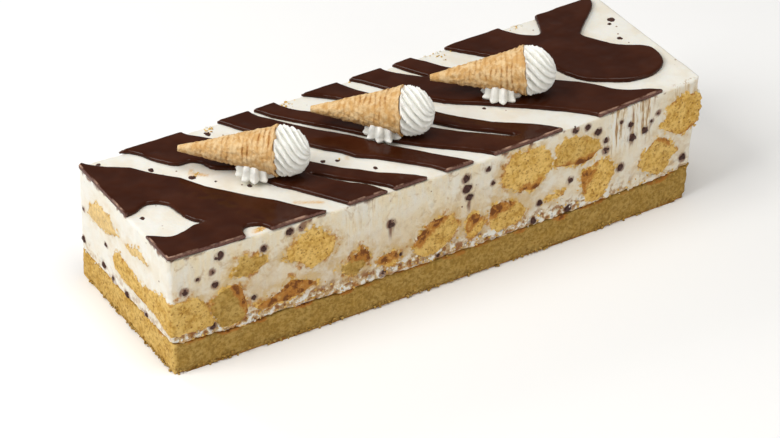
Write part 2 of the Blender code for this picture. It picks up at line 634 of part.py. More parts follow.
def make_rosette(number, cone):
    """A fluted dollop on the cake, pressed down by the cone that lies on it."""
    profile = [(1.0, 0), (0.98, 2.0), (0.92, 4.2), (0.78, 6.2), (0.5, ROSETTE_HEIGHT)]

    def shape(radius, height, angle):
        return radius * (0.89 + 0.11 * math.cos(ROSETTE_FLUTES * angle)), height

    bm = turned([(s * ROSETTE_RADIUS, h) for s, h in profile], ROSETTE_FLUTES * 2, shape)
    bmesh.ops.rotate(bm, verts=bm.verts, matrix=Matrix.Rotation(number, 3, "Z"))
    x, y = cone["rosette"]
    bottom = top_height(x) + GAP + CHOCOLATE_THICK + 2 * GAP
    bmesh.ops.transform(bm, matrix=Matrix.Scale(MM, 4) @ Matrix.Translation((x, y, bottom)), verts=bm.verts)
    rosette = add_object(f"rosette_{number}", bm, "piped_cream")
    place, length = cone_frame(cone)
    cutter = turned(wafer_profile(length, GAP + 0.3), CONE_SIDES, lambda r, z, a: (r, z))
    bmesh.ops.transform(cutter, matrix=place, verts=cutter.verts)
    apply_boolean(rosette, [add_object("cone_space", cutter, "wafer")], "DIFFERENCE")


def main():
    for obj in list(bpy.data.objects):
        bpy.data.objects.remove(obj)
    pieces = all_pieces()
    corner_depth, corner_outline = CORNER_BLOCK
    outlines = [place[1:] for place in pieces] + [("front", corner_outline, corner_depth)]
    make_base()
    make_cream(outlines)
    for name, side, outline, depth in pieces:
        piece = sponge_piece(f"sponge_{name}", side, outline, depth)
        if name == "front_01":
            apply_boolean(piece, [sponge_piece("corner", "front", corner_outline, corner_depth)], "UNION")
        place_in_cake(piece)
    for name in CHOCOLATE_OUTLINES:
        make_chocolate(name)
    for number, cone in enumerate(CONES, 1):
        make_cone(number, cone)
        make_swirl(number, cone)
        make_rosette(number, cone)


main()
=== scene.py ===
import math
import random

import bmesh
import bpy
import numpy as np
from mathutils import Euler, Matrix, Vector, noise
from mathutils.bvhtree import BVHTree


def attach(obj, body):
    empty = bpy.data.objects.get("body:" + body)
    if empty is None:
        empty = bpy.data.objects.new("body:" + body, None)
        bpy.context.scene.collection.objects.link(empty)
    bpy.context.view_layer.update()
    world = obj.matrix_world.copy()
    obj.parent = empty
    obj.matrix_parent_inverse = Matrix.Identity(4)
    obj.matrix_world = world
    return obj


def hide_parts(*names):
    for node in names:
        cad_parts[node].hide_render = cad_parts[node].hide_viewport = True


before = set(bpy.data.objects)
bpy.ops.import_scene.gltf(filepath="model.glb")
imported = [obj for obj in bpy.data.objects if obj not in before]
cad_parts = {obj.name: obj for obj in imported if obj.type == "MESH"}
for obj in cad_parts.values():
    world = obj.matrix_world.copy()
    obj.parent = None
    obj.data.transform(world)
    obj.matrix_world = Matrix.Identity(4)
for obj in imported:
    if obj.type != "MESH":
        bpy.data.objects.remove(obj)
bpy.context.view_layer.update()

mm = 0.001
print("frame loaded:", len(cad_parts), "nodes")

# The straight box that places are read in, and how the real cake departs from it, in mm
cake = {
    "boxLength": 290.0, "boxDepth": 88.0, "boxHeight": 65.0,
    "length": 284.5, "width": 91.6, "height": 65.0, "rise": 4.8,
    "leanLeft": 0.7, "leanRight": 5.1, "insetFront": 1.2, "insetBack": 2.3,
    "bowBottom": 2.4, "bowTop": 2.3, "sagFront": 2.6, "sagBack": 1.5,
    "baseHeight": 16.6, "baseSag": 0.6, "heel": 2.4, "heelStart": 272, "heelLength": 14, "heelDepth": 60,
}
centreX = cake["length"] / 2 + (cake["leanRight"] - cake["leanLeft"]) / 2
centreY = cake["width"] / 2
spongeNodes = sorted(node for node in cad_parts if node.startswith("sponge_"))
stripeNodes = sorted(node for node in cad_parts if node.startswith("chocolate_"))


def lerp(a, b, t):
    return a + (b - a) * t


def ease(low, high, value):
    t = min(max((value - low) / (high - low), 0.0), 1.0)
    return t * t * (3 - 2 * t)


def cakePlaces(box):
    # Real places, in metres, of an array of points of the straight box
    x, y, z = box[:, 0], box[:, 1], box[:, 2]
    t, d, h = x / cake["boxLength"], y / cake["boxDepth"], z / cake["boxHeight"]
    bow = 4 * t * (1 - t)
    left = -cake["leanLeft"] * h
    right = cake["length"] + cake["leanRight"] * h
    front = lerp(-cake["bowBottom"] * bow, cake["insetFront"] - cake["bowTop"] * bow, h)
    back = lerp(cake["width"] + cake["bowBottom"] * bow, cake["width"] - cake["insetBack"], h)
    top = cake["height"] + cake["rise"] * (t - 0.5) - lerp(cake["sagFront"], cake["sagBack"], d) * bow
    return np.stack([lerp(left, right, t) - centreX, lerp(front, back, d) - centreY, top * h], -1) * mm


def boxPlaces(places):
    # The other way round, by small corrections
    box = places / mm + np.array([cake["length"] / 2, cake["width"] / 2, 0])
    for _ in range(5):
        box -= (cakePlaces(box) - places) / mm
    return box


def cakePlace(x, y, z):
    return Vector(cakePlaces(np.array([[x, y, z]], float))[0])


def baseTop(x, y):
    # Slow waves, a sag across the middle, and a heel that rises at the right end of the front
    waves = 0.5 * math.sin(0.11 * x + 0.5) + 0.4 * math.sin(0.31 * x + 0.02 * y + 1.7)
    sag = cake["baseSag"] * math.sin(math.pi * y / cake["boxDepth"])
    heel = min(max((x - cake["heelStart"]) / cake["heelLength"], 0), 1) * max(0, 1 - y / cake["heelDepth"])
    return cake["baseHeight"] + waves - sag + cake["heel"] * heel


# Small tools for meshes

def newPiece(name, bm, smooth=True):
    mesh = bpy.data.meshes.new(name)
    bm.to_mesh(mesh)
    bm.free()
    for face in mesh.polygons:
        face.use_smooth = smooth
    piece = bpy.data.objects.new(name, mesh)
    bpy.context.scene.collection.objects.link(piece)
    return piece


def copiedNode(node, name):
    bm = bmesh.new()
    bm.from_mesh(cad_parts[node].data)
    bmesh.ops.remove_doubles(bm, verts=bm.verts, dist=1e-6)
    return newPiece(name, bm)


def remeshed(piece, size):
    # An even grid of faces, size in mm
    grid = piece.modifiers.new("grid", "REMESH")
    grid.mode = "VOXEL"
    grid.voxel_size = size * mm * 1.0
    graph = bpy.context.evaluated_depsgraph_get()
    done = bpy.data.meshes.new_from_object(piece.evaluated_get(graph))
    piece.modifiers.clear()
    piece.data = done
    for face in done.polygons:
        face.use_smooth = True
    return piece


def smoothed(piece, rounds, chosen):
    # Smooths only the chosen points
    bm = bmesh.new()
    bm.from_mesh(piece.data)
    verts = [vertex for vertex, wanted in zip(bm.verts, chosen) if wanted]
    for _ in range(rounds):
        bmesh.ops.smooth_vert(bm, verts=verts, factor=0.5, use_axis_x=True, use_axis_y=True, use_axis_z=True)
    bm.to_mesh(piece.data)
    bm.free()


def readPoints(mesh):
    points = np.empty(len(mesh.vertices) * 3, np.float32)
    mesh.vertices.foreach_get("co", points)
    return points.reshape(-1, 3).astype(float)


def writePoints(mesh, points):
    mesh.vertices.foreach_set("co", points.astype(np.float32).ravel())
    mesh.update()


def readNormals(mesh):
    normals = np.empty(len(mesh.vertices) * 3, np.float32)
    mesh.vertex_normals.foreach_get("vector", normals)
    return normals.reshape(-1, 3).astype(float)


def relief(piece, heightOf):
    # Moves each point along its normal by heightOf(place in mm, normal), in mm
    points, normals = readPoints(piece.data), readNormals(piece.data)
    heights = np.array([heightOf(Vector(p) / mm, n) for p, n in zip(points, normals)])
    writePoints(piece.data, points + normals * heights[:, None] * mm)


def nearTree(nodes):
    # For the distance from a place to the nearest surface of these nodes
    bm = bmesh.new()
    for node in nodes:
        bm.from_mesh(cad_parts[node].data)
    tree = BVHTree.FromBMesh(bm)
    bm.free()
    return tree


def distances(tree, points):
    return np.array([tree.find_nearest(p)[3] for p in points]) / mm


def setAttributes(piece, **values):
    # Each value is one number, or one for each point
    for name, value in values.items():
        layer = piece.data.attributes.new(name, "FLOAT", "POINT")
        layer.data.foreach_set("value", np.full(len(layer.data), value, np.float32))


def finishPiece(piece, slotName, material, *nodes):
    piece.data.materials.clear()
    piece.data.materials.append(material)
    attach(piece, "root")
    if nodes:
        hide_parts(*nodes)


# Small tools for materials

def startMaterial(name, values):
    material = bpy.data.materials.new(name)
    material.use_nodes = True
    tree = material.node_tree
    shader = tree.nodes["Principled BSDF"]
    for key, value in values.items():
        shader.inputs[key].default_value = value
    return material, tree, shader


def addNode(tree, kind, inputs, **settings):
    made = tree.nodes.new("ShaderNode" + kind)
    for key, value in settings.items():
        setattr(made, key, value)
    for key, value in inputs.items():
        if isinstance(value, bpy.types.NodeSocket):
            tree.links.new(value, made.inputs[key])
        else:
            made.inputs[key].default_value = value
    return made


def inMm(tree, stretch=(1, 1, 1)):
    place = addNode(tree, "TexCoord", {}).outputs["Object"]
    scale = tuple(s / mm for s in stretch)
    return addNode(tree, "Mapping", {"Vector": place, "Scale": scale}).outputs["Vector"]


def cloudy(tree, vector, size, detail=3.0, rough=0.55, warp=0.0):
    inputs = {"Vector": vector, "Scale": 1 / size, "Detail": detail, "Roughness": rough, "Distortion": warp}
    return addNode(tree, "TexNoise", inputs).outputs["Fac"]


def cells(tree, vector, size):
    inputs = {"Vector": vector, "Scale": 1 / size}
    return addNode(tree, "TexVoronoi", inputs, feature="F1").outputs["Distance"]


def ranged(tree, value, low, high, toLow=0.0, toHigh=1.0):
    inputs = {"Value": value, "From Min": low, "From Max": high, "To Min": toLow, "To Max": toHigh}
    return addNode(tree, "MapRange", inputs, interpolation_type="SMOOTHSTEP").outputs["Result"]


def maths(tree, operation, a, b):
    return addNode(tree, "Math", {0: a, 1: b}, operation=operation).outputs["Value"]


def times(tree, a, b):
    return maths(tree, "MULTIPLY", a, b)


def mixed(tree, factor, a, b):
    # 6 and 7 are the Mix node's colours, and a plain colour gets an alpha of 1
    a, b = (c if isinstance(c, bpy.types.NodeSocket) else (*c, 1) for c in (a, b))
    return addNode(tree, "Mix", {0: factor, 6: a, 7: b}, data_type="RGBA").outputs[2]


def layered(tree, colour, layers, values):
    # Lays colours over what is there, in order: where each goes, and its name in values
    for where, tone in layers:
        colour = mixed(tree, where, colour, values[tone])
    return colour


def blended(tree, factor, a, b):
    return addNode(tree, "Mix", {0: factor, 2: a, 3: b}, data_type="FLOAT").outputs[0]


def attribute(tree, name):
    return addNode(tree, "Attribute", {}, attribute_name=name).outputs["Fac"]


def bumped(tree, shader, layers):
    # Layers are (height socket, distance in mm), and each bump goes on top of the one before
    normal = None
    for height, distance in layers:
        inputs = {"Height": height, "Distance": distance * mm, "Strength": 1.0}
        if normal:
            inputs["Normal"] = normal
        normal = addNode(tree, "Bump", inputs).outputs["Normal"]
    tree.links.new(normal, shader.inputs["Normal"])


def colourBy(tree, shader, colour):
    tree.links.new(colour, shader.inputs["Base Color"])


# Sponge and cream share one finish, so that they smear into each other where they meet. Each point carries
# spread, how far out of the sponge it lies in mm, tear, how ragged the edge is, and edge, how browned it is.
# The sponge's points also carry crust, base, how much painted shade darkens them, and pale. The cream's
# carry side, which also carries painted shade, low, dip, mark, smear, drag, and the painted shade low on the
# sides.
# Sizes are in mm

sponge = {
    "light": (0.81, 0.545, 0.170), "main": (0.62, 0.36, 0.070), "dark": (0.38, 0.18, 0.028),
    "toffee": (0.42, 0.155, 0.022), "crust": (0.15, 0.044, 0.008), "baseShadeAndDull": (0.265, 0.156, 0.027),
    "poreShade": (0.25, 0.10, 0.015), "pale": (0.86, 0.72, 0.46), "roughness": 0.9, "glow": 0.0,
    "patch": 7.0, "crumb": 1.9, "pore": 1.75, "brownedPatch": 3.2,
    "bigLump": 5.5, "smallLump": 2.1, "lumpHeight": 0.35, "pit": 2.6, "pitDepth": 0.3,
    "baseGrid": 1.15, "pieceGrid": 0.8, "raised": 0.42, "tooth": 1.3,
}
cream = {
    "white": (0.79, 0.775, 0.715), "shade": (0.76, 0.71, 0.61), "sideShade": (0.79, 0.68, 0.475),
    "fallen": (0.56, 0.42, 0.265), "tan": (0.45, 0.285, 0.125), "stain": (0.62, 0.44, 0.205),
    "brown": (0.19, 0.080, 0.042), "grey": (0.36, 0.325, 0.295), "orange": (0.50, 0.225, 0.046),
    "caramel": (0.28, 0.095, 0.016), "golden": (0.68, 0.38, 0.105), "roughness": 0.5, "glow": 0.15,
    "patch": 13, "streak": 2.8, "lump": 2.6, "blot": 5.5, "greyPatch": 3.6, "line": 1.5,
    "dotSpacing": 6.5, "dotPatch": 12, "stainReach": 7.5, "tearSize": 3.4, "tearReach": 2.0,
    "grid": 1.05, "sinkStart": 1.0, "sinkMost": 2.2, "bandTop": 11,
}


def spongeLook(tree, place, values):
    patches = cloudy(tree, place, values["patch"], 4, 0.6)
    crumb = cloudy(tree, place, values["crumb"], 3, 0.66)
    shifted = addNode(tree, "VectorMath", {0: place, 1: cloudy(tree, place, 1.5, 2)}, operation="ADD")
    pores = ranged(tree, cells(tree, shifted.outputs[0], values["pore"]), 0.40, 0.12)
    pores = times(tree, pores, ranged(tree, cloudy(tree, place, 3.4, 3), 0.40, 0.6, 0.2, 1))
    browningAndShade = ranged(tree, cloudy(tree, place, values["brownedPatch"], 4, 0.65), 0.36, 0.6, 0.45, 1.25)
    warm = times(tree, attribute(tree, "crust"), browningAndShade)
    layers = [
        (ranged(tree, crumb, 0.48, 0.68, 0, 0.7), "light"),
        (ranged(tree, crumb, 0.52, 0.32, 0, 0.7), "dark"),
        # Painted shade in the pores
        (times(tree, pores, 0.85), "poreShade"),
        # Painted shade on the base and on crumbs low down; the same colour also darkens the duller pieces
        (times(tree, attribute(tree, "base"), ranged(tree, crumb, 0.36, 0.62, 0.92, 0.64)), "baseShadeAndDull"),
        (times(tree, attribute(tree, "pale"), 0.32), "pale"),
        (ranged(tree, warm, 0.06, 0.4, 0, 0.85), "toffee"),
        (ranged(tree, warm, 0.45, 0.85, 0, 0.9), "crust"),
    ]
    colour = mixed(tree, ranged(tree, patches, 0.36, 0.64), values["main"], values["light"])
    # Kept near the height of the cream, so that no step shows where they meet
    raised = ranged(tree, crumb, 0.2, 0.8, 0.3, 0.75)
    return layered(tree, colour, layers, values), maths(tree, "SUBTRACT", raised, times(tree, pores, 0.22))


def creamLook(tree, place, outline, values):
    side, low, edge = attribute(tree, "side"), attribute(tree, "low"), attribute(tree, "edge")
    patches = cloudy(tree, place, values["patch"], 4, 0.6)
    streaks = cloudy(tree, inMm(tree, (1, 1, 0.2)), values["streak"], 4, 0.6, 0.4)
    lumps = cloudy(tree, place, values["lump"], 4, 0.66)
    blots = cloudy(tree, place, values["blot"], 4, 0.62, 0.6)
    lines = cloudy(tree, inMm(tree, (1, 1, 0.06)), values["line"], 3, 0.6)
    pulled = times(tree, side, ranged(tree, streaks, 0.44, 0.60))
    stained = ranged(tree, blots, 0.38, 0.58, 0.12, 1)
    near = times(tree, ranged(tree, outline, values["stainReach"], 0.3), stained)
    dip = maths(tree, "ADD", attribute(tree, "dip"), ranged(tree, lumps, 0.34, 0.66, -0.3, 0.3))
    greyed = times(tree, ranged(tree, cloudy(tree, place, values["greyPatch"], 3), 0.58, 0.66), low)
    smear = times(tree, attribute(tree, "smear"), ranged(tree, streaks, 0.34, 0.58, 0.5, 1))
    drag = times(tree, attribute(tree, "drag"), ranged(tree, patches, 0.35, 0.55, 0.5, 1))
    dots = ranged(tree, cells(tree, place, values["dotSpacing"]), 0.09, 0.055)
    few = ranged(tree, cloudy(tree, place, values["dotPatch"], 1), 0.46, 0.58)
    layers = [
        # Painted shade in beige on the cut sides
        (times(tree, side, ranged(tree, patches, 0.3, 0.62, 0.45, 1)), "sideShade"),
        (times(tree, pulled, 0.4), "white"),
        (times(tree, side, ranged(tree, blots, 0.55, 0.68, 0, 0.5)), "tan"),
        # Painted shade that darkens the cut sides towards the bottom
        (times(tree, attribute(tree, "fall"), ranged(tree, blots, 0.36, 0.6, 0.45, 0.9)), "fallen"),
        (times(tree, near, edge), "stain"),
        (times(tree, low, ranged(tree, dip, -0.02, 0.2, 0, 0.9)), "tan"),
        (times(tree, low, ranged(tree, dip, 0.18, 0.38, 0, 0.9)), "caramel"),
        (times(tree, low, ranged(tree, dip, -0.04, -0.2, 0, 1)), "white"),
        (times(tree, greyed, 0.85), "grey"),
        (times(tree, attribute(tree, "mark"), ranged(tree, lumps, 0.35, 0.55, 0.35, 1)), "golden"),
        (ranged(tree, smear, 0.06, 0.8, 0, 0.94), "brown"),
        (times(tree, drag, ranged(tree, lines, 0.50, 0.40)), "white"),
        (times(tree, drag, ranged(tree, lines, 0.54, 0.61)), "tan"),
        (times(tree, drag, ranged(tree, lines, 0.62, 0.68)), "brown"),
        (times(tree, dots, few), "brown"),
    ]
    colour = mixed(tree, ranged(tree, patches, 0.40, 0.66), values["white"], values["shade"])
    # Rougher on the cut sides than on the top
    rough = times(tree, maths(tree, "ADD", times(tree, side, 0.75), 0.25), lumps)
    return layered(tree, colour, layers, values), rough, times(tree, side, streaks)


def cakeMaterial(name, glow):
    starting = {"Specular IOR Level": 0.3, "Subsurface Weight": glow, "Subsurface Radius": (1.0, 0.75, 0.5),
                "Subsurface Scale": 2.0 * mm}
    material, tree, shader = startMaterial(name, starting)
    place = inMm(tree)
    # The outline is above 0 in the cream and below 0 in the sponge, and ragged where tear is high
    reach = cream["tearReach"]
    torn = ranged(tree, cloudy(tree, place, cream["tearSize"], 4, 0.66), 0.28, 0.72, -reach, reach)
    ragged = times(tree, torn, attribute(tree, "tear"))
    outline = maths(tree, "SUBTRACT", maths(tree, "ADD", attribute(tree, "spread"), ragged), 0.35)
    isCream = ranged(tree, outline, -0.6, 0.7)
    spongeColour, crumb = spongeLook(tree, place, sponge)
    creamColour, lumps, streaks = creamLook(tree, place, outline, cream)
    colour = mixed(tree, isCream, spongeColour, creamColour)
    # Browned stretches of the outline, on both sides of it
    band = times(tree, ranged(tree, outline, -2.4, -0.4), ranged(tree, outline, 2.6, 0.6))
    stretch = ranged(tree, cloudy(tree, place, 9, 2), 0.44, 0.55)
    rim = times(tree, times(tree, band, stretch), attribute(tree, "edge"))
    layers = [(times(tree, rim, ranged(tree, lumps, 0.38, 0.56)), "orange"),
              (times(tree, rim, ranged(tree, lumps, 0.56, 0.66)), "caramel")]
    colourBy(tree, shader, layered(tree, colour, layers, cream))
    rough = blended(tree, isCream, sponge["roughness"], cream["roughness"])
    tree.links.new(rough, shader.inputs["Roughness"])
    bumped(tree, shader, [(blended(tree, isCream, crumb, lumps), 0.8), (times(tree, isCream, streaks), 0.4)])
    return material


spongeFinish = cakeMaterial("spongeCrumb", sponge["glow"])
creamFinish = cakeMaterial("creamFilling", cream["glow"])


def spongeHeight(place):
    # Open crumb: soft lumps with small pits
    high = sponge["lumpHeight"]
    lumps = noise.noise(place / sponge["bigLump"]) * high + noise.noise(place / sponge["smallLump"]) * high
    pit = noise.voronoi(place / sponge["pit"])[0][0]
    return lumps - sponge["pitDepth"] * (1 - ease(0.1, 0.45, pit))


# The sponge base

def baseRelief(place, normal):
    # Flat underneath, with teeth of crumb along the lower edge
    free = ease(-0.8, -0.2, normal[2])
    teeth = sponge["tooth"] * ease(3.2, 0.6, place.z) * max(0.0, noise.noise(place / 2.0) + 0.25)
    return free * (spongeHeight(place) - 0.15 - teeth)


def makeBase(toCream):
    base = remeshed(copiedNode("base_sponge", "spongeBase"), sponge["baseGrid"])
    relief(base, baseRelief)
    points = readPoints(base.data)
    points[:, 2] = np.maximum(points[:, 2], 0)
    writePoints(base.data, points)
    box = boxPlaces(points)
    crust = []
    for x, y, z in box:
        # Browned in a thin skin under the cream and along the foot, less on the left end
        skin = ease(2.4, 0.4, baseTop(x, y) - z) * (0.30 + 1.1 * noise.noise(Vector((x, y, z)) / 8))
        crust.append(max(0.0, skin, 0.3 * ease(1.6, 0.2, z)) * (0.4 if x < 2 else 1))
    # The base gets painted shade everywhere but at its left end
    setAttributes(base, crust=crust, spread=-distances(toCream, points), tear=0.28, edge=0.35,
                  base=[lerp(0.4, 1, ease(0.5, 3, x)) for x, _, _ in box])
    finishPiece(base, "sponge", spongeFinish, "base_sponge")


# Sponge pieces in the cream. Browned stretches of crust: direction in degrees, where it starts, strength

crusts = {
    "front_01": (90, 0.85, 0.5), "front_02": (25, 0.25, 0.8), "front_03": (0, 0.8, 0.9),
    "front_04": (0, 0.7, 1.0), "front_05": (90, -2.0, 0.85), "front_06": (60, 0.0, 1.0),
    "front_07": (100, -0.5, 0.85), "front_08": (135, 0.05, 1.05), "front_09": (120, -0.25, 0.85),
    "front_10": (115, 0.15, 1.05), "front_11": (-80, 0.35, 1.1), "front_12": (-90, 0.3, 1.0),
    "front_13": (150, 0.2, 0.8), "front_14": (200, 0.4, 0.7), "front_15": (50, 0.35, 1.0),
    "front_16": (-60, 0.6, 0.8), "left_01": (90, 0.8, 0.3), "left_02": (90, 0.9, 0.3),
}
# How much duller than the rest some of them are
dullPieces = {
    "front_01": 0.25, "front_02": 0.85, "front_03": 0.6, "front_05": 0.5, "front_06": 0.85,
    "front_08": 0.2, "front_10": 0.2, "front_12": 0.25, "front_15": 0.15, "left_01": 0.1, "left_02": 0.15,
}


def crustAlong(points, across, angle, start, strength):
    # Browned in one direction over the piece's face, which runs along axis number across
    low, high = points.min(0), points.max(0)
    middle, half = (low + high) / 2, (high - low) / 2
    u = (points[:, across] - middle[across]) / half[across]
    v = (points[:, 2] - middle[2]) / half[2]
    toward = u * math.cos(math.radians(angle)) + v * math.sin(math.radians(angle))
    return [strength * ease(start, start + 0.5, t) * (0.75 + 0.9 * noise.noise(Vector(p) / mm / 4))
            for t, p in zip(toward, points)]


def makeSpongePieces(toCream):
    draw = random.Random(3)
    for number, node in enumerate(spongeNodes):
        spot = node.removeprefix("sponge_")
        piece = remeshed(copiedNode(node, "cakePiece_" + spot), sponge["pieceGrid"])
        shift = Vector((number * 7.3, 0, 0))
        corner = 0.9 if spot == "front_16" else 0.0

        def height(place, normal):
            # The last piece of the front is ragged where it turns the cake's corner
            teeth = corner * ease(139, 142, place.x) * noise.noise(place / 1.7)
            return sponge["raised"] + 0.8 * spongeHeight(place + shift) + teeth

        relief(piece, height)
        guess = (draw.uniform(0, 360), draw.uniform(0.4, 0.8), draw.uniform(0.3, 0.9))
        points = readPoints(piece.data)
        across = 0 if spot.startswith(("front", "back")) else 1
        onLeft = spot.startswith("left")
        under = [z - baseTop(x, y) for x, y, z in boxPlaces(points)]
        setAttributes(piece, crust=crustAlong(points, across, *crusts.get(spot, guess)),
                      base=dullPieces.get(spot, 0.0), pale=1.0 if onLeft else 0.0,
                      spread=-distances(toCream, points), side=1.0, edge=0.2 if onLeft else 0.9,
                      tear=[lerp(0.35, 1, ease(0.5, 3, far)) for far in under])
        finishPiece(piece, "sponge", spongeFinish, node)


toCream = nearTree(["cream"])
makeBase(toCream)
makeSpongePieces(toCream)
print("sponge made")


# Chocolate chips on each side: place along it, height, radius and length of the smear below. On the top the
# second number is the distance from the front. Hidden sides: name, where the chips end, and how many

chips = {
    "front": [(7, 45.5, 1.9, 0), (14, 50.4, 0.9, 2), (21, 52.3, 1.4, 0), (22.6, 44.4, 1.6, 3),
              (25, 60, 2.1, 2), (47.6, 56.6, 1.7, 0), (42, 30.4, 1.2, 2), (20.4, 21.4, 1.6, 2),
              (61, 61.4, 1.7, 3), (67, 61.8, 1.5, 2), (114.5, 47, 2.2, 11), (155, 58, 2.2, 2),
              (156, 52, 2.3, 4), (157.5, 46.6, 1.8, 11), (167, 59, 1.4, 2), (170.5, 50, 1.0, 0),
              (110.5, 19.8, 1.4, 0), (141, 19.2, 1.0, 0), (216, 63, 1.6, 2), (223.4, 61.8, 1.4, 2),
              (230, 57, 1.8, 4), (235, 50.5, 1.4, 3), (235.6, 45, 1.8, 3), (249.5, 54, 1.4, 5),
              (251, 46.5, 2.2, 6), (258.5, 47.8, 1.8, 3), (215.5, 35.5, 1.7, 2), (198.5, 28.5, 1.4, 2),
              (216, 19.2, 1.7, 0), (195.6, 19.2, 1.5, 0), (245.6, 32, 2.0, 3), (265.5, 55, 1.1, 2),
              (284.5, 24, 1.7, 0), (34, 49.4, 1.0, 3), (120, 27.4, 0.8, 2), (262, 51.6, 0.8, 4),
              (178, 31, 0.7, 0), (243.6, 57.4, 0.8, 4)],
    "left": [(24.5, 19.4, 1.3, 0), (43, 18.6, 1.6, 0), (55, 19, 1.9, 0), (65.5, 21, 1.4, 0),
             (85, 24, 1.6, 0), (83.6, 43, 1.2, 0), (62, 35.5, 1.1, 0)],
    "top": [(9, 84.6, 1.2, 0), (28, 69, 1.4, 0), (41.4, 54.6, 1.5, 0), (49, 46, 1.2, 0), (6.2, 36, 1.3, 0),
            (65, 82.6, 1.7, 0), (61, 36, 1.1, 0), (118, 20, 1.2, 0), (100, 36.5, 1.1, 0),
            (284, 66.5, 1.9, 0), (277.5, 50.5, 1.6, 0), (229.6, 38.6, 1.2, 0), (106, 33.6, 1.2, 0),
            (30.5, 62.4, 0.8, 0), (281, 64, 1.0, 0), (188, 35.4, 0.8, 0)],
    "hidden": [("back", 282, 14), ("right", 80, 3)],
    "colour": (0.040, 0.0145, 0.0095), "dusty": (0.085, 0.036, 0.027), "roughness": 0.5, "lump": 0.38,
}


def hiddenChips(draw, end, count):
    # In the front's style, from near the corner to end
    return [(draw.uniform(8, end), draw.uniform(21, 61), draw.uniform(1.2, 2.0), draw.choice((0, 3, 6)))
            for _ in range(count)]


draw = random.Random(7)
for side, end, count in chips["hidden"]:
    chips[side] = hiddenChips(draw, end, count)


def sidePlace(side, along, height, depth):
    if side == "front":
        return (along, depth, height)
    if side == "left":
        return (depth, along, height)
    if side == "back":
        return (along, cake["boxDepth"] - depth, height)
    if side == "right":
        return (cake["boxLength"] - depth, along, height)
    return (along, height, cake["boxHeight"] - depth)


def makeChips():
    starting = {"Roughness": chips["roughness"], "Specular IOR Level": 0.2}
    material, tree, shader = startMaterial("chipChocolate", starting)
    tone = ranged(tree, cloudy(tree, inMm(tree), 1.2), 0.4, 0.7)
    colourBy(tree, shader, mixed(tree, tone, chips["colour"], chips["dusty"]))
    flatness = {"front": (1, 0.6, 1), "back": (1, 0.6, 1), "left": (0.6, 1, 1), "right": (0.6, 1, 1),
                "top": (1, 1, 0.4)}
    heap = bmesh.new()
    for side, flat in flatness.items():
        for along, height, radius, _ in chips[side]:
            centre = cakePlace(*sidePlace(side, along, height, 0.2 * radius))
            made = bmesh.ops.create_icosphere(heap, subdivisions=3, radius=(radius + 0.15) * mm)["verts"]
            for vertex in made:
                lump = noise.noise(vertex.co / mm / radius * 1.3 + Vector((along, height, 0)))
                vertex.co *= 1 + chips["lump"] * lump
            bmesh.ops.scale(heap, vec=flat, verts=made)
            bmesh.ops.translate(heap, vec=centre, verts=made)
    finishPiece(newPiece("chocolateChips", heap), "chocolate", material)


makeChips()
print("chips made")


# The cream. Marks on its top: from, to, half width in mm, and strength

marks = [((45, 3), (52, 4.5), 1.3, 1.0), ((72, 14.5), (83, 8.5), 0.7, 0.8), ((43, 57), (48, 53), 1.0, 0.9),
         ((41, 56), (44, 60), 0.8, 0.7), ((95, 7), (104, 10), 0.6, 0.4), ((111, 33), (117, 37), 1.6, 0.35)]
# Where the knife pulled brown lines down the front: soft begin and end along it, soft height, and strength
drags = [((232, 239), (265, 259), (38, 49), 1.0), ((273, 276), (290, 285), (52, 58), 0.7),
         ((86, 92), (112, 104), (34, 42), 0.3)]


def filledBlock():
    # The cream with its pockets filled, so that no seam shows round the sponge in it
    bm = bmesh.new()
    for node in ["cream"] + spongeNodes:
        part = copiedNode(node, "filler")
        if node != "cream":
            relief(part, lambda place, normal: 0.4)
        bm.from_mesh(part.data)
        bpy.data.objects.remove(part)
    return newPiece("creamFilling", bm)


def sideOf(x, y):
    # The nearest side, how far along it a place lies, and how deep
    gaps = {"front": (y, x), "left": (x, y), "back": (cake["boxDepth"] - y, x),
            "right": (cake["boxLength"] - x, y)}
    which = min(gaps, key=lambda side: gaps[side][0])
    depth, along = gaps[which]
    return which, along, depth


def chipSmear(side, along, z):
    # A soft ring round each chip and the tail that the knife dragged down from it
    value = 0.0
    for a, h, radius, tail in chips[side]:
        off = abs(along - a)
        if off > radius + 2 or z > h + radius + 2 or z < h - tail - 3:
            continue
        ring = 0.75 * ease(radius + 1.7, radius + 0.1, math.hypot(off, z - h))
        drag = 0.85 * ease(radius * 0.8 + 0.6, 0.2, off) * ease(h - tail - 1.5, h - tail * 0.3, z) * (z < h)
        value = max(value, ring, drag if tail else 0.0)
    return value


def creamSmear(side, along, z, under, stripeGap):
    # Brown from the chips, from the chocolate above and from the base below
    hanging = noise.noise(Vector((along / 2.6, z / 8, 3.5)))
    below = 0.85 * ease(1.2 + 5 * max(0, hanging), 0.4, stripeGap) * ease(-0.15, 0.1, hanging)
    return max(chipSmear(side, along, z), below, 0.45 * ease(1.2, 0.2, under))


def markStrength(x, y):
    value = 0.0
    for start, end, half, strength in marks:
        a, b, p = Vector(start), Vector(end), Vector((x, y))
        t = min(max((p - a).dot(b - a) / (b - a).length_squared, 0), 1)
        value = max(value, strength * ease(half + 0.7, half * 0.3, (p - a.lerp(b, t)).length))
    return value


def dragStrength(x, z):
    return max(strength * ease(*begin, x) * ease(*end, x) * ease(*height, z)
               for begin, end, height, strength in drags)


def tornLumps(place):
    # The rough band just above the base
    return 0.85 * noise.noise(place / 2.9) + 0.4 * noise.noise(place / 1.5)


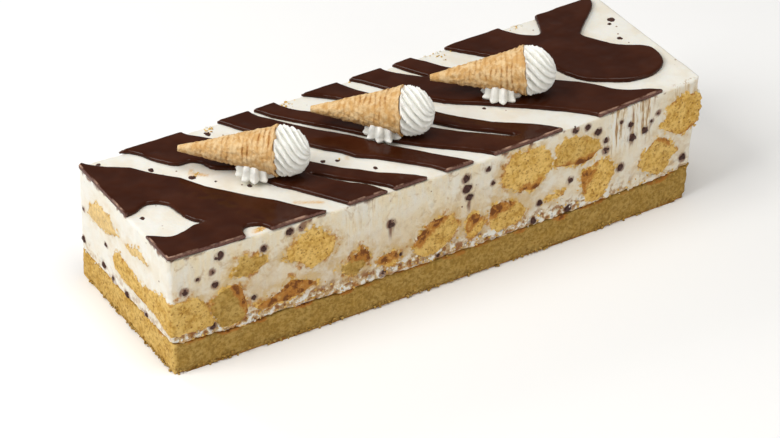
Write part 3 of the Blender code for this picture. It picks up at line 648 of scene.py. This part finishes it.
def creamRelief(place, normal):
    # Nearly smooth on top. Lumps, knife lines, small holes and a rough lower band on the cut sides
    wave = noise.noise(place / 13) * 0.35
    if normal[2] > 0.7:
        return wave * 0.7 + 0.1 * noise.noise(place / 4)
    lump = noise.noise(place / 3.6) * 0.3
    drag = noise.noise(Vector((place.x / 1.7, place.y / 1.7, place.z / 16))) * 0.25
    pit = noise.voronoi(place / 6.5)[0][0]
    crumbly = ease(28, 21, place.z) * tornLumps(place) * (0.9 if normal[1] < -0.5 else 0.5)
    return wave + lump + drag + crumbly - 0.7 * (1 - ease(0.08, 0.25, pit))


def makeCream(toCream):
    block = remeshed(filledBlock(), cream["grid"])
    relief(block, creamRelief)
    points, normals = readPoints(block.data), readNormals(block.data)
    fromCream = distances(toCream, points)
    fromSponge = distances(nearTree(spongeNodes + ["base_sponge"]), points)
    fromStripes = distances(nearTree(stripeNodes), points)
    # Behind a sponge piece the cream sinks out of sight
    behind = fromCream > cream["sinkStart"]
    sunk = np.where(behind, np.minimum(cream["sinkMost"], 0.8 * (fromCream - cream["sinkStart"])), 0)
    writePoints(block.data, points - normals * sunk[:, None] * mm)
    box = boxPlaces(points)
    side = np.array([ease(0.8, 0.4, abs(n[2])) for n in normals])
    onLeft = box[:, 0] < 1.5
    # Towards the right the front has fewer stains and less painted shade
    lessStainAndShade = np.array([ease(170, 212, x) for x, _, _ in box])
    smear, low, tear, mark, fall = [], [], [], [], []
    for (x, y, z), upright, stripeGap, lessStainAndShadeHere in zip(box, side, fromStripes, lessStainAndShade):
        under = z - baseTop(x, y)
        which, along, depth = sideOf(x, y)
        shows = depth < 2.5 and upright > 0.2
        smear.append(creamSmear(which, along, z, under, stripeGap) if shows else 0.0)
        mess = 0.3 if which == "left" else lerp(1, 0.35, ease(232, 250, x))
        low.append(ease(cream["bandTop"], 4, under) * mess * upright)
        tear.append(lerp(0.28, 1, ease(0.8, 3.5, under)))
        mark.append(markStrength(x, y) if z > cake["boxHeight"] - 2 else 0.0)
        # Painted shade: darker towards the bottom of the cut sides, weaker towards the right, none on the
        # left end
        fall.append(0 if x < 1.5 else ease(60, 22, z) * upright * lerp(1, 0.12, lessStainAndShadeHere))
    # side also carries the painted shade of the cut sides, weak on the left end and fading towards the right
    setAttributes(block, smear=smear, low=low, tear=tear, mark=mark, fall=fall,
                  side=np.where(onLeft, 0.12, lerp(1, 0.6, lessStainAndShade)) * side,
                  edge=np.where(onLeft, 0.25, lerp(0.85, 0.5, lessStainAndShade)) * side,
                  dip=[-tornLumps(Vector(p) / mm) for p in points],
                  drag=[dragStrength(x, z) * ease(3, 2, y) for x, y, z in box],
                  spread=np.where(behind, -fromCream, fromSponge))
    finishPiece(block, "cream", creamFinish, "cream")


makeCream(toCream)
print("cream made")


# Chocolate stripes

stripe = {
    "colour": (0.036, 0.0082, 0.0026), "sheenColour": (0.050, 0.0125, 0.0044), "cut": (0.165, 0.078, 0.060),
    # The rim colour is a painted highlight along the top edge of the cut sides
    "rim": (0.50, 0.31, 0.22), "roughness": 0.17, "cutRoughness": 0.5, "thickness": 2.0,
    "grid": 0.62, "wave": 0.12, "ripple": 0.05, "bedded": 0.45,
}


def chocolateMaterial(name, values):
    material, tree, shader = startMaterial(name, {"Specular IOR Level": 0.16})
    place = inMm(tree)
    patches = cloudy(tree, place, 16, 2)
    grain = cloudy(tree, place, 1.3, 3, 0.6)
    cut = attribute(tree, "cut")
    broken = ranged(tree, cloudy(tree, place, 11, 4, 0.6), 0.44, 0.60)
    # Painted highlight along the top edge of the cut sides, broken into stretches
    rim = times(tree, ranged(tree, attribute(tree, "rim"), 0.35, 0.9), broken)
    layers = [(times(tree, cut, ranged(tree, grain, 0.3, 0.6, 0.4, 1)), "cut"),
              (times(tree, rim, 0.75), "rim")]
    colour = mixed(tree, ranged(tree, patches, 0.35, 0.7), values["colour"], values["sheenColour"])
    colourBy(tree, shader, layered(tree, colour, layers, values))
    rough = ranged(tree, cut, 0, 1, values["roughness"], values["cutRoughness"])
    rough = maths(tree, "ADD", rough, ranged(tree, patches, 0.3, 0.7, -0.04, 0.06))
    tree.links.new(rough, shader.inputs["Roughness"])
    bumped(tree, shader, [(patches, 1.1), (times(tree, cut, grain), 0.6)])
    return material


def stripeRelief(place, normal):
    return stripe["wave"] * noise.noise(place / 9) + stripe["ripple"] * noise.noise(place / 3)


def makeStripes():
    material = chocolateMaterial("stripeChocolate", stripe)
    for number, node in enumerate(stripeNodes, 1):
        piece = remeshed(copiedNode(node, f"chocolateStripe_{number}"), stripe["grid"])
        box = boxPlaces(readPoints(piece.data))
        # How far each point is from the nearest cut side of the cake
        ends = np.minimum(np.minimum(box[:, 0], box[:, 1]),
                          np.minimum(cake["boxLength"] - box[:, 0], cake["boxDepth"] - box[:, 1]))
        smoothed(piece, 2, ends > 1.4)
        cutSide = [ease(1.0, 0.5, e) * ease(0.75, 0.4, abs(n[2]))
                   for e, n in zip(ends, readNormals(piece.data))]
        relief(piece, stripeRelief)
        # The underside goes a little into the cream, so that no gap shows
        points = readPoints(piece.data)
        above = box[:, 2] - cake["boxHeight"] - 0.3
        points[above < 0.6, 2] -= stripe["bedded"] * mm
        writePoints(piece.data, points)
        # Where the painted highlight goes: the top edge of the cut sides
        crest = stripe["thickness"] - 0.8
        rim = [ease(0.95, 0.45, e) * ease(crest, crest + 0.4, a) for e, a in zip(ends, above)]
        setAttributes(piece, cut=cutSide, rim=rim)
        finishPiece(piece, "chocolate", material, node)


makeStripes()
print("stripes made")


# Wafer cones, the cream piped in them and the rosettes under them. Places are in mm from the middle of the
# cake, and twist is in degrees

cone = {
    "radius": 11.6, "tip": 1.5, "wall": 1.5, "cup": 3.0, "tipHeight": 11.2, "mouthHeight": 14.6,
    "ringSpacing": 2.5, "ringDepth": 0.7, "flare": 0.8, "bump": 0.42, "rows": 160, "sides": 120,
    "light": (0.77, 0.545, 0.285), "main": (0.63, 0.365, 0.130), "dark": (0.40, 0.165, 0.036),
    "places": [
        {"tip": (-105.5, 19.3), "mouth": (-69.4, -10.1), "rosette": (-78.4, -4.9), "twist": 128},
        {"tip": (-36.1, 17.2), "mouth": (-2.7, -10.7), "rosette": (-10.6, -6.4), "twist": 112},
        {"tip": (26.0, 11.2), "mouth": (64.6, -12.0), "rosette": (54.4, -7.6), "twist": 104},
    ],
}
piped = {
    # The groove colour is painted shade in the grooves between the ribs
    "white": (0.94, 0.935, 0.895), "shade": (0.88, 0.87, 0.825), "grooveShade": (0.74, 0.73, 0.67),
    "roughness": 0.5, "length": 15.0, "radius": 11.6, "flutes": 12, "depth": 0.30, "lean": 1.3,
    "rosetteRadius": 9.2, "rosetteHeight": 8.0, "rosetteFlutes": 10, "rosetteDepth": 0.26,
    "rosetteLift": 2.9, "sidesPerFlute": 14,
}


def topHeight(x):
    t = (x + centreX) / cake["length"]
    return cakePlace(t * cake["boxLength"], cake["boxDepth"] / 2, cake["boxHeight"]).z / mm


def conePlace(values):
    tip = Vector((*values["tip"], topHeight(values["tip"][0]) + cone["tipHeight"]))
    mouth = Vector((*values["mouth"], topHeight(values["mouth"][0]) + cone["mouthHeight"]))
    axis = mouth - tip
    turn = axis.to_track_quat("Z", "Y").to_matrix().to_4x4()
    return Matrix.Scale(mm, 4) @ Matrix.Translation(tip) @ turn, axis.length


def turned(profile, sides, shapeOf, layer):
    # Spins the profile round Z in mm. shapeOf(radius, height, angle) gives each point's radius, height and
    # the value that the layer keeps
    bm = bmesh.new()
    line = [bm.verts.new((radius, 0, height)) for radius, height in profile]
    edges = [bm.edges.new(pair) for pair in zip(line, line[1:])]
    bmesh.ops.spin(bm, geom=line + edges, cent=(0, 0, 0), axis=(0, 0, 1), angle=2 * math.pi, steps=sides,
                   use_merge=True)
    bmesh.ops.remove_doubles(bm, verts=bm.verts, dist=1e-4)
    kept = bm.verts.layers.float.new(layer)
    for vertex in bm.verts:
        angle = math.atan2(vertex.co.y, vertex.co.x)
        radius, height, value = shapeOf(math.hypot(vertex.co.x, vertex.co.y), vertex.co.z, angle)
        vertex.co = (radius * math.cos(angle), radius * math.sin(angle), height)
        vertex[kept] = value
    bmesh.ops.recalc_face_normals(bm, faces=bm.faces)
    return bm


def waferMaterial(name, values):
    material, tree, shader = startMaterial(name, {"Roughness": 0.68, "Specular IOR Level": 0.3})
    place = inMm(tree)
    patches = cloudy(tree, place, 3.6, 4, 0.62)
    grain = cloudy(tree, place, 1.2, 4, 0.7)
    # Painted shade in the ring grooves of the wafer
    browningAndShade = times(tree, attribute(tree, "grooveShade"), ranged(tree, patches, 0.62, 0.38, 0.35, 1))
    layers = [(times(tree, browningAndShade, 0.8), "dark"),
              # Painted shade on the underside of the cone
              (ranged(tree, attribute(tree, "under"), 0.2, 1, 0, 0.45), "dark"),
              (ranged(tree, grain, 0.57, 0.72, 0, 0.6), "dark")]
    colour = mixed(tree, ranged(tree, patches, 0.38, 0.62), values["main"], values["light"])
    colourBy(tree, shader, layered(tree, colour, layers, values))
    bumped(tree, shader, [(patches, 0.9), (grain, 0.45)])
    return material


def makeCone(number, values, material):
    place, length = conePlace(values)
    rows, inner = cone["rows"], cone["radius"] - cone["wall"]
    outer = [(lerp(cone["tip"], cone["radius"], k / rows), length * k / rows) for k in range(rows + 1)]
    profile = [(0, 0.35), (cone["tip"] * 0.6, 0.1)] + outer
    profile += [(inner, length), (inner - 0.8, length - cone["cup"]), (0, length - cone["cup"])]
    jitter = number * 17.0

    def ringOf(height, angle):
        # The wafer is wound, so its rings climb by one step a turn, unevenly
        around = Vector((1.8 * math.cos(angle), 1.8 * math.sin(angle), height / 5 + jitter))
        return (height / cone["ringSpacing"] + angle / (2 * math.pi) + 0.42 * noise.noise(around)) % 1.0

    def shape(radius, height, angle):
        grow = ease(1, 12, height)
        around = Vector((math.cos(angle) * radius, math.sin(angle) * radius, height + jitter))
        if height > length - 0.01:
            ragged = 1.3 * noise.noise(around / 3.5) + 0.8 * noise.noise(around / 1.6)
            return radius + 0.4, height + ragged, 0.5
        if abs(radius - lerp(cone["tip"], cone["radius"], height / length)) > 0.02:
            return radius, height, 0.6
        step = ringOf(height, angle)
        fading = 0.35 + 0.85 * ease(-0.15, 0.3, noise.noise(around / 7)) * ease(0.25, 0.8, height / length)
        ridge = cone["ringDepth"] * (step - 0.7) * grow * fading
        if step > 0.84:
            ridge *= (1 - step) / 0.16
        flare = cone["flare"] * ease(length - 3, length, height)
        bumps = cone["bump"] * noise.noise(around / 3.8) + cone["bump"] * noise.noise(around / 1.7)
        # The last value marks the ring grooves for painted shade
        return radius + ridge + flare + bumps * grow, height, ease(0.3, 0.02, min(step, 1 - step)) * fading

    bm = turned(profile, cone["sides"], shape, "grooveShade")
    bmesh.ops.transform(bm, matrix=place, verts=bm.verts)
    bm.normal_update()
    piece = newPiece(f"waferCone_{number}", bm)
    # Marks the downward-facing side of the cone for painted shade
    setAttributes(piece, under=[ease(0.1, -0.9, normal[2]) for normal in readNormals(piece.data)])
    finishPiece(piece, "wafer", material, f"cone_{number}")


def ridgeOf(angle, flutes):
    # Pleats: ribs with a soft crest and a narrow groove between them
    turn = angle * flutes / 2
    return 0.55 * abs(math.cos(turn)) ** 0.72 + 0.45 * (1 - abs(math.sin(turn)))


def profileOf(knots, radius, steps):
    # A line of points between knots, which are (share of the radius, height), closed on the axis
    line = [(lerp(a[0], b[0], s / steps) * radius, lerp(a[1], b[1], s / steps))
            for a, b in zip(knots, knots[1:]) for s in range(steps)]
    return line + [(0, knots[-1][1])]


def makeSwirl(number, values, material):
    place, length = conePlace(values)
    inner = (cone["radius"] - cone["wall"] + 0.1) / piped["radius"]
    knots = [(0.0, -2.4), (inner, -2.3), (inner, -0.5), (1.0, 0.3), (1.07, 1.6), (1.03, 3.2), (1.0, 6.2),
             (0.9, 9.2), (0.72, 11.8), (0.47, 13.8), (0.22, 14.7), (0.0, piped["length"])]
    jitter = number * 9.0

    def shape(radius, height, angle):
        share = max(0, height) / piped["length"]
        turn = math.radians(values["twist"]) * share
        rib = ridgeOf(angle - turn, piped["flutes"])
        deep = piped["depth"] * ease(0.0, 1.4, height)
        around = Vector((math.cos(angle) * 3, math.sin(angle) * 3, height / 3 + jitter))
        # Small steps along each rib, as the tip of the bag left them
        teeth = 0.02 * math.sin(height * 3.1 + 9 * noise.noise(around * 0.6)) * ease(0.6, 2.4, height)
        soft = 1 + 0.05 * noise.noise(around * 0.5) + teeth * rib
        lean = 0.4 * noise.noise(around * 0.4)
        wide = radius * (1 - deep + deep * rib) * soft
        # The last value marks the grooves for painted shade
        return wide, height + length + lean, (1 - rib) * ease(0.4, 2, height)

    profile = profileOf(knots, piped["radius"], 6)
    bm = turned(profile, piped["flutes"] * piped["sidesPerFlute"], shape, "grooveShade")
    bmesh.ops.transform(bm, matrix=place, verts=bm.verts)
    mouth = place @ Vector((0, 0, length))
    axis = ((place @ Vector((0, 0, length + 1))) - mouth).normalized()
    # The free end leans down a little
    for vertex in bm.verts:
        out = (vertex.co - mouth).dot(axis) / mm
        vertex.co.z -= piped["lean"] * mm * ease(2, 16, out)
    finishPiece(newPiece(f"pipedSwirl_{number}", bm), "piped_cream", material, f"cone_cream_{number}")


def makeRosette(number, values, material):
    knots = [(0, -0.9), (0.95, -0.9), (1.04, 0.2), (1.0, 1.4), (0.97, 3.2), (0.94, 5.0), (0.84, 6.6),
             (0.5, 7.6), (0, piped["rosetteHeight"])]
    profile = profileOf(knots, piped["rosetteRadius"], 5)

    def shape(radius, height, angle):
        rib = ridgeOf(angle - number, piped["rosetteFlutes"])
        around = Vector((math.cos(angle) * 2, math.sin(angle) * 2, height / 4 + number * 5))
        deep = piped["rosetteDepth"]
        wide = 1 - deep + deep * rib + 0.06 * noise.noise(around) + 0.05 * rib * ease(2.2, 0, height)
        # The last value marks the grooves for painted shade
        return radius * wide, height, 1 - rib

    bm = turned(profile, piped["rosetteFlutes"] * piped["sidesPerFlute"], shape, "grooveShade")
    x, y = values["rosette"]
    lift = Matrix.Translation((x, y, topHeight(x) + piped["rosetteLift"]))
    bmesh.ops.transform(bm, matrix=Matrix.Scale(mm, 4) @ lift, verts=bm.verts)
    finishPiece(newPiece(f"pipedRosette_{number}", bm), "piped_cream", material, f"rosette_{number}")


def pipedMaterial(name, values):
    starting = {"Roughness": values["roughness"], "Specular IOR Level": 0.4, "Subsurface Weight": 0.2,
                "Subsurface Radius": (1.0, 0.9, 0.8), "Subsurface Scale": 1.2 * mm}
    material, tree, shader = startMaterial(name, starting)
    place = inMm(tree)
    tone = ranged(tree, cloudy(tree, place, 5, 3), 0.35, 0.7)
    colour = mixed(tree, tone, values["white"], values["shade"])
    # Painted shade in the grooves between the ribs
    grooveShade = ranged(tree, attribute(tree, "grooveShade"), 0.25, 0.95, 0, 0.85)
    colourBy(tree, shader, mixed(tree, grooveShade, colour, values["grooveShade"]))
    bumped(tree, shader, [(cloudy(tree, place, 1.6, 3), 0.35)])
    return material


def makeCones():
    wafer = waferMaterial("waferBaked", cone)
    pipedFinish = pipedMaterial("pipedCream", piped)
    for number, values in enumerate(cone["places"], 1):
        makeCone(number, values, wafer)
        makeSwirl(number, values, pipedFinish)
        makeRosette(number, values, pipedFinish)


makeCones()
print("cones made")


# Loose crumbs. Bands: side, from and to along it, from and to in height, how many, size. On the top: place
# along and from the front, spread and how many

crumbs = {
    "bands": [("front", 2, 288, 16.8, 22, 110, 0.5), ("front", 55, 235, 19, 29, 70, 0.55),
              ("front", 2, 285, 0.4, 3, 170, 0.6), ("left", 4, 84, 16.5, 19, 20, 0.45),
              ("left", 4, 84, 0.4, 3, 70, 0.55), ("back", 2, 288, 16.8, 26, 150, 0.5),
              ("back", 2, 285, 0.4, 3, 140, 0.6), ("right", 4, 84, 17, 50, 60, 0.55),
              ("right", 4, 84, 0.4, 3, 60, 0.6), ("right", 0, 22, 38, 60, 70, 0.75)],
    "top": [(44, 56, 2.4, 12), (67, 85, 3.0, 22), (106, 35, 2.0, 3), (111, 87, 3, 16), (195, 86, 5, 18),
            (240, 87, 3, 10), (48, 3.4, 2.0, 8), (5, 60, 3, 4), (150, 86, 4, 10)],
    "creamShare": 0.3, "shapes": 8, "topSize": 0.5,
}


def crumbShapes(count):
    # A few uneven crumbs of radius 1 mm, to be turned, scaled and repeated
    shapes = []
    for number in range(count):
        bm = bmesh.new()
        bmesh.ops.create_icosphere(bm, subdivisions=2, radius=mm)
        for vertex in bm.verts:
            vertex.co *= 1 + 0.7 * noise.noise(vertex.co / mm * 1.3 + Vector((number * 5, 0, 0)))
        mesh = bpy.data.meshes.new(f"crumbShape{number}")
        bm.to_mesh(mesh)
        bm.free()
        shapes.append(mesh)
    return shapes


def scatter(bm, mesh, place, turn, stretch):
    # Adds one turned and scaled copy of a small mesh
    copy = mesh.copy()
    scale = Matrix.Diagonal((*stretch, 1))
    copy.transform(Matrix.Translation(place) @ turn.to_matrix().to_4x4() @ scale)
    bm.from_mesh(copy)
    bpy.data.meshes.remove(copy)


def makeCrumbs():
    draw = random.Random(11)
    heaps = {"spongeCrumbs": bmesh.new(), "creamCrumbs": bmesh.new()}
    shapes = crumbShapes(crumbs["shapes"])

    def crumb(side, along, height, size):
        isCream = draw.random() < crumbs["creamShare"] and height > 10
        radius = size * draw.uniform(0.45, 1.25)
        centre = cakePlace(*sidePlace(side, along, height, -0.05 * radius))
        turn = Euler([draw.uniform(0, 6.28) for _ in range(3)])
        heap = heaps["creamCrumbs" if isCream else "spongeCrumbs"]
        scatter(heap, draw.choice(shapes), centre, turn, [radius * draw.uniform(0.7, 1.2) for _ in range(3)])

    for side, lowAlong, highAlong, lowHeight, highHeight, count, size in crumbs["bands"]:
        for _ in range(count):
            crumb(side, draw.uniform(lowAlong, highAlong), draw.uniform(lowHeight, highHeight), size)
    for x, y, spread, count in crumbs["top"]:
        for _ in range(count):
            along, across = x + draw.gauss(0, spread / 2), y + draw.gauss(0, spread / 2)
            crumb("top", along, min(cake["boxDepth"] - 0.5, max(0.5, across)), crumbs["topSize"])
    for shape in shapes:
        bpy.data.meshes.remove(shape)
    for name, bm in heaps.items():
        piece = newPiece(name, bm)
        points = readPoints(piece.data) / mm
        points[:, 2] = np.maximum(points[:, 2], 0)
        writePoints(piece.data, points * mm)
        isCream = name == "creamCrumbs"
        # Crumbs low down get the base's painted shade
        setAttributes(piece, base=[0.8 * ease(13, 9, z) for _, _, z in points],
                      crust=[max(0, 0.25 * noise.noise(Vector(p) / 6)) for p in points],
                      spread=4.0 if isCream else -4.0, side=0.5)
        slotName, finish = ("cream", creamFinish) if isCream else ("sponge", spongeFinish)
        finishPiece(piece, slotName, finish)


makeCrumbs()
print("crumbs made")


# Floor, light and camera. Right and up are the directions of the picture's width and height

studio = {
    "floor": (0.92, 0.92, 0.92), "floorSize": 3, "world": (1.0, 1.0, 1.0), "worldStrength": 0.26,
    "aim": (0, 0, 0.03),
    "lights": [("key", (-1.15, 0.05, 1.15), 0.9, 17.4, (1.0, 0.99, 0.965)),
               ("top", (0.1, -0.35, 1.6), 0.8, 9.5, (1.0, 0.985, 0.95)),
               ("front", (0.35, -1.6, 0.55), 0.9, 4.4, (1.0, 0.95, 0.86)),
               ("back", (-0.45, 1.3, 0.75), 0.5, 5.0, (1.0, 1.0, 1.0))],
    "camera": (-0.64907, -1.03544, 0.84543), "lens": 142.01,
    "right": (0.8525, -0.52258, 0.01235), "up": (0.28656, 0.48698, 0.82507),
}


def makeFloor():
    bm = bmesh.new()
    bmesh.ops.create_grid(bm, x_segments=1, y_segments=1, size=studio["floorSize"])
    floor = newPiece("floor", bm, smooth=False)
    starting = {"Roughness": 0.85, "Base Color": (*studio["floor"], 1)}
    floor.data.materials.append(startMaterial("floorPale", starting)[0])


def makeLights():
    world = bpy.data.worlds.new("studio")
    world.use_nodes = True
    background = world.node_tree.nodes["Background"]
    background.inputs["Color"].default_value = (*studio["world"], 1)
    background.inputs["Strength"].default_value = studio["worldStrength"]
    bpy.context.scene.world = world
    for name, place, size, power, colour in studio["lights"]:
        light = bpy.data.lights.new(name, "AREA")
        light.size = size
        light.energy = power
        light.color = colour
        lamp = bpy.data.objects.new(name, light)
        lamp.location = place
        lamp.rotation_euler = (Vector(studio["aim"]) - Vector(place)).to_track_quat("-Z", "Y").to_euler()
        bpy.context.scene.collection.objects.link(lamp)
    bpy.context.scene.view_settings.view_transform = "Standard"


def makeCamera():
    view = bpy.data.cameras.new("camera")
    view.lens = studio["lens"]
    view.sensor_width = 36
    camera = bpy.data.objects.new("camera", view)
    right, up = Vector(studio["right"]), Vector(studio["up"])
    turn = Matrix((right, up, right.cross(up))).transposed().to_4x4()
    camera.matrix_world = Matrix.Translation(studio["camera"]) @ turn
    bpy.context.scene.collection.objects.link(camera)
    bpy.context.scene.camera = camera


makeFloor()
makeLights()
makeCamera()
print("studio made")
